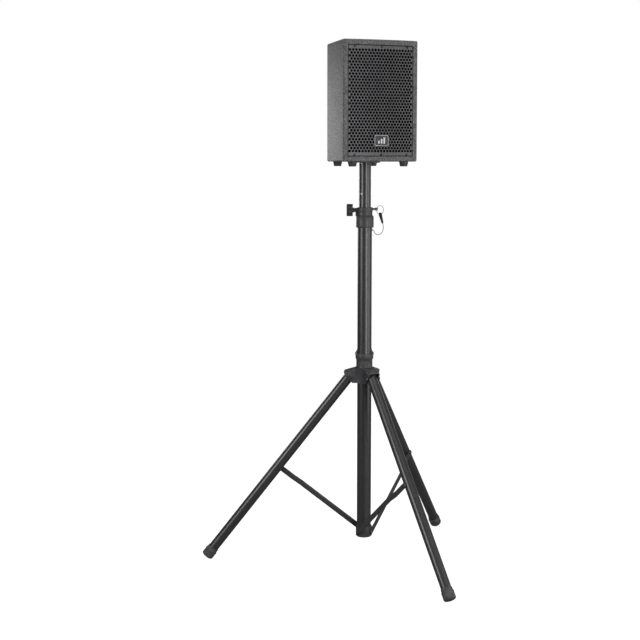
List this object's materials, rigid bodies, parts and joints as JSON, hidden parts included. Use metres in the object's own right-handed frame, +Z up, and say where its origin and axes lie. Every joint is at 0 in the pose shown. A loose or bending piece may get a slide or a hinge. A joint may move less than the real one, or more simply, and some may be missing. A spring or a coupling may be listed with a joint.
{
  "type": "pa speaker on tripod stand",
  "caption": "Two-way PA speaker with a perforated steel grille, turning on the telescoping pole of a folding tripod stand.",
  "frame": {"origin": "on the floor, under the middle of the whole object's outline seen from above; the mast stands at x +20.5 mm, y +99.5 mm", "axes": "+Z up, along the mast; the grille faces -Y; +X is to the right of someone who looks at the grille"},
  "size_m": [0.8431, 0.7703, 1.532],
  "materials": {
    "cabinet_paint": "orange-peel textured charcoal paint over MDF",
    "baffle_board": "black painted MDF",
    "foam": "open-cell acoustic foam",
    "grille_steel": "satin powder coat on perforated steel",
    "badge": "satin rim round a dark field",
    "cast_black": "black paint",
    "paper_cone": "treated black paper",
    "spider_cloth": "resin-stiffened cloth",
    "copper": "enamelled wire",
    "zinc_steel": "bright zinc plate",
    "black_screw": "black oxide",
    "moulded_black": "fine-grained black moulding",
    "circuit_board": "solder-masked board",
    "rubber_black": "matt black rubber",
    "guide_nylon": "natural nylon",
    "powder_coat": "semi-gloss black powder coat on steel",
    "lanyard_wire": "black vinyl over wire rope"
  },
  "bodies": {
    "mast": {"main_tube": "powder_coat", "top_collar": "moulded_black", "lanyard_anchor": "zinc_steel", "pin_lanyard": "lanyard_wire", "base_collar": "moulded_black", "brace_bolts": "powder_coat", "mast_end_plug": "rubber_black"},
    "pole": {"pole_tube": "powder_coat", "pole_guide_bush": "guide_nylon"},
    "cabinet": {"top_panel": "cabinet_paint", "bottom_panel": "cabinet_paint", "left_side_panel": "cabinet_paint", "right_side_panel": "cabinet_paint", "back_panel": "cabinet_paint", "front_baffle": "baffle_board", "grille_battens": "baffle_board", "grille_foam": "foam", "front_grille": "grille_steel", "grille_screws": "black_screw", "front_badge": "badge", "woofer_basket": "cast_black", "woofer_magnet": "cast_black", "woofer_surround": "foam", "woofer_spider": "spider_cloth", "driver_screws": "zinc_steel", "horn_flare": "moulded_black", "compression_driver": "cast_black", "crossover_board": "circuit_board", "damping_foam": "foam", "terminal_plate": "moulded_black", "input_jacks": "zinc_steel", "terminal_screws": "black_screw", "pole_socket": "moulded_black", "underside_screws": "zinc_steel", "cabinet_feet": "rubber_black"},
    "cone": {"woofer_cone": "paper_cone", "dust_cap": "paper_cone", "voice_coil": "copper"},
    "height_knob": {"height_knob": "rubber_black", "height_knob_screw": "zinc_steel"},
    "locking_pin": {"locking_pin": "zinc_steel", "split_ring": "zinc_steel", "swivel_tab": "rubber_black"},
    "hub": {"leg_hub": "moulded_black", "hub_clamp_band": "moulded_black", "leg_bolts": "powder_coat"},
    "hub_knob": {"hub_knob": "rubber_black", "hub_knob_screw": "zinc_steel"},
    "leg_1": {"leg_tube_1": "powder_coat", "foot_cap_1": "rubber_black"},
    "brace_1": {"brace_1": "powder_coat", "brace_rivet_1": "powder_coat"},
    "leg_2": {"leg_tube_2": "powder_coat", "foot_cap_2": "rubber_black"},
    "brace_2": {"brace_2": "powder_coat", "brace_rivet_2": "powder_coat"},
    "leg_3": {"leg_tube_3": "powder_coat", "foot_cap_3": "rubber_black"},
    "brace_3": {"brace_3": "powder_coat", "brace_rivet_3": "powder_coat"}
  },
  "joints": [
    {"name": "pole_height", "type": "slide", "parent": "mast", "child": "pole", "axis": [0, 0, 1], "range_m": [-0.09, 0.585]},
    {"name": "cabinet_turn", "type": "hinge", "parent": "pole", "child": "cabinet", "pos_m": [0.02053, 0.09953, 1.225], "axis": [0, 0, 1], "continuous": true},
    {"name": "cone_travel", "type": "slide", "parent": "cabinet", "child": "cone", "axis": [0, -1, 0], "range_m": [-0.004, 0.004], "stiffness_N_per_m": 2000},
    {"name": "hub_height", "type": "slide", "parent": "mast", "child": "hub", "axis": [0, 0, 1], "range_m": [0, 0.1963]},
    {"name": "leg_1_swing", "type": "hinge", "parent": "hub", "child": "leg_1", "pos_m": [0.02453, 0.0538, 0.556], "axis": [-0.9962, -0.0872, 0], "range_deg": [-37.94, 0]},
    {"name": "brace_1_swing", "type": "hinge", "parent": "mast", "child": "brace_1", "pos_m": [-0.00213, 0.09453, 0.087], "axis": [-0.9962, -0.0872, 0], "range_deg": [0, 44.86]},
    {"name": "leg_2_swing", "type": "hinge", "parent": "hub", "child": "leg_2", "pos_m": [0.05812, 0.12585, 0.556], "axis": [0.5736, -0.8192, 0], "range_deg": [-37.94, 0]},
    {"name": "brace_2_swing", "type": "hinge", "parent": "mast", "child": "brace_2", "pos_m": [0.03617, 0.08241, 0.087], "axis": [0.5736, -0.8192, 0], "range_deg": [0, 44.86]},
    {"name": "leg_3_swing", "type": "hinge", "parent": "hub", "child": "leg_3", "pos_m": [-0.02107, 0.11893, 0.556], "axis": [0.4226, 0.9063, 0], "range_deg": [-37.94, 0]},
    {"name": "brace_3_swing", "type": "hinge", "parent": "mast", "child": "brace_3", "pos_m": [0.02753, 0.12164, 0.087], "axis": [0.4226, 0.9063, 0], "range_deg": [0, 44.86]},
    {"name": "height_knob_turn", "type": "hinge", "parent": "mast", "child": "height_knob", "pos_m": [-0.01935, 0.11812, 1.049], "axis": [-0.9063, 0.4226, 0], "continuous": true},
    {"name": "hub_knob_turn", "type": "hinge", "parent": "hub", "child": "hub_knob", "pos_m": [0.03954, 0.14031, 0.619], "axis": [0.4226, 0.9063, 0], "continuous": true},
    {"name": "locking_pin_pull", "type": "slide", "parent": "mast", "child": "locking_pin", "axis": [0.9063, -0.4226, 0], "range_m": [-0.006, 0.005]}
  ],
  "couplings": [
    {"joint": "leg_1_swing", "follows": "hub_height", "rad_per_m": -3.3723},
    {"joint": "brace_1_swing", "follows": "hub_height", "rad_per_m": 3.9878},
    {"joint": "leg_2_swing", "follows": "hub_height", "rad_per_m": -3.3723},
    {"joint": "brace_2_swing", "follows": "hub_height", "rad_per_m": 3.9878},
    {"joint": "leg_3_swing", "follows": "hub_height", "rad_per_m": -3.3723},
    {"joint": "brace_3_swing", "follows": "hub_height", "rad_per_m": 3.9878}
  ]
}
